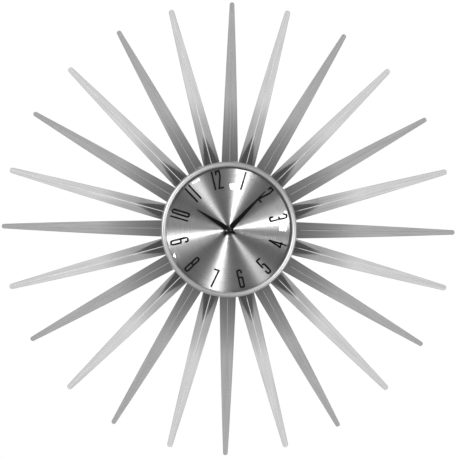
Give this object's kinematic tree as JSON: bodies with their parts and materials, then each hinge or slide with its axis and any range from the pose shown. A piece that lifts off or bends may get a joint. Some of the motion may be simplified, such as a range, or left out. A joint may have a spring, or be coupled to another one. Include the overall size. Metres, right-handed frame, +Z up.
{
  "type": "sunburst wall clock",
  "caption": "Wall clock with a round domed-glass case, a brushed dial with slim numerals, two tapered hands and folded metal rays in two layers.",
  "frame": {"origin": "on the hands' axis at the wall plane, where the rubber ring touches the wall", "axes": "+Z up, -Y out of the dial towards the viewer, +X to the viewer's right, +Y into the wall"},
  "size_m": [0.686, 0.05, 0.686],
  "materials": {
    "front_ray_metal": "satin, brushed along the ray",
    "rear_ray_metal": "bright polished, fine lengthwise grain",
    "plate_steel": "mill finish",
    "fastener_steel": "zinc plated",
    "housing_paint": "satin grey enamel",
    "bumper_rubber": "matt",
    "dial_metal": "brushed round the centre, clear coat",
    "dial_print": "semi-gloss black print",
    "bezel_metal": "polished with a fine satin grain",
    "lens_glass": "clear polished glass",
    "gasket_rubber": "matt",
    "movement_plastic": "fine texture",
    "bridge_plastic": "smooth moulded",
    "bush_brass": "turned",
    "arbor_brass": "turned",
    "gear_plastic": "smooth moulded",
    "rotor_magnet": "sintered magnet in plastic",
    "stator_iron": "stamped iron",
    "coil_copper": "enamelled copper wire",
    "board_laminate": "solder resist",
    "battery_shell": "printed shell, satin",
    "contact_metal": "nickel plated spring strip",
    "knob_plastic": "smooth moulded",
    "hand_paint": "satin black"
  },
  "bodies": {
    "case": {"front_ray_01": "front_ray_metal", "front_ray_02": "front_ray_metal", "front_ray_03": "front_ray_metal", "front_ray_04": "front_ray_metal", "front_ray_05": "front_ray_metal", "front_ray_06": "front_ray_metal", "front_ray_07": "front_ray_metal", "front_ray_08": "front_ray_metal", "front_ray_09": "front_ray_metal", "front_ray_10": "front_ray_metal", "front_ray_11": "front_ray_metal", "front_ray_12": "front_ray_metal", "rear_ray_01": "rear_ray_metal", "rear_ray_02": "rear_ray_metal", "rear_ray_03": "rear_ray_metal", "rear_ray_04": "rear_ray_metal", "rear_ray_05": "rear_ray_metal", "rear_ray_06": "rear_ray_metal", "rear_ray_07": "rear_ray_metal", "rear_ray_08": "rear_ray_metal", "rear_ray_09": "rear_ray_metal", "rear_ray_10": "rear_ray_metal", "rear_ray_11": "rear_ray_metal", "rear_ray_12": "rear_ray_metal", "rear_ray_plate": "plate_steel", "front_ray_plate": "plate_steel", "ray_rivets": "fastener_steel", "plate_spacers": "fastener_steel", "assembly_screws": "fastener_steel", "rear_housing": "housing_paint", "hanger_plate": "fastener_steel", "wall_ring": "bumper_rubber", "case_pan": "housing_paint", "dial": "dial_metal", "dial_numerals": "dial_print", "bezel": "bezel_metal", "lens": "lens_glass", "lens_gasket": "gasket_rubber", "movement_rear_cover": "movement_plastic", "movement_front_cover": "movement_plastic", "train_bridge": "bridge_plastic", "bush_nut": "bush_brass", "bush_washer": "gasket_rubber", "stator": "stator_iron", "coil": "coil_copper", "circuit_board": "board_laminate", "battery": "battery_shell", "battery_contacts": "contact_metal"},
    "minute_work": {"minute_arbor": "arbor_brass", "centre_wheel": "gear_plastic", "minute_hand": "hand_paint", "hand_nut": "hand_paint"},
    "hour_work": {"hour_wheel": "gear_plastic", "hour_hand": "hand_paint"},
    "motion_work": {"motion_wheel": "gear_plastic"},
    "third_work": {"third_wheel": "gear_plastic"},
    "fourth_work": {"fourth_wheel": "gear_plastic"},
    "fifth_work": {"fifth_wheel": "gear_plastic"},
    "rotor_work": {"rotor": "rotor_magnet"},
    "knob": {"setting_knob": "knob_plastic"}
  },
  "joints": [
    {"name": "minute_spin", "type": "hinge", "parent": "case", "child": "minute_work", "pos_m": [0, -0.03, 0], "axis": [0, 1, 0], "continuous": true},
    {"name": "hour_spin", "type": "hinge", "parent": "case", "child": "hour_work", "pos_m": [0, -0.03, 0], "axis": [0, 1, 0], "continuous": true},
    {"name": "motion_spin", "type": "hinge", "parent": "case", "child": "motion_work", "pos_m": [0.00902, -0.025, -0.00328], "axis": [0, 1, 0], "continuous": true},
    {"name": "knob_spin", "type": "hinge", "parent": "case", "child": "knob", "pos_m": [0.01733, -0.02, 0.00152], "axis": [0, 1, 0], "continuous": true},
    {"name": "third_spin", "type": "hinge", "parent": "case", "child": "third_work", "pos_m": [-0.00816, -0.021, 0], "axis": [0, 1, 0], "continuous": true},
    {"name": "fourth_spin", "type": "hinge", "parent": "case", "child": "fourth_work", "pos_m": [0, -0.018, 0], "axis": [0, 1, 0], "continuous": true},
    {"name": "fifth_spin", "type": "hinge", "parent": "case", "child": "fifth_work", "pos_m": [0.004, -0.017, 0.00693], "axis": [0, 1, 0], "continuous": true},
    {"name": "rotor_spin", "type": "hinge", "parent": "case", "child": "rotor_work", "pos_m": [0.01086, -0.017, 0.01089], "axis": [0, 1, 0], "continuous": true}
  ],
  "couplings": [
    {"joint": "hour_spin", "follows": "minute_spin", "ratio": 0.083333},
    {"joint": "motion_spin", "follows": "minute_spin", "ratio": -0.33333},
    {"joint": "knob_spin", "follows": "minute_spin", "ratio": 1},
    {"joint": "third_spin", "follows": "minute_spin", "ratio": -8},
    {"joint": "fourth_spin", "follows": "minute_spin", "ratio": 60},
    {"joint": "fifth_spin", "follows": "minute_spin", "ratio": -180},
    {"joint": "rotor_spin", "follows": "minute_spin", "ratio": 1800}
  ]
}
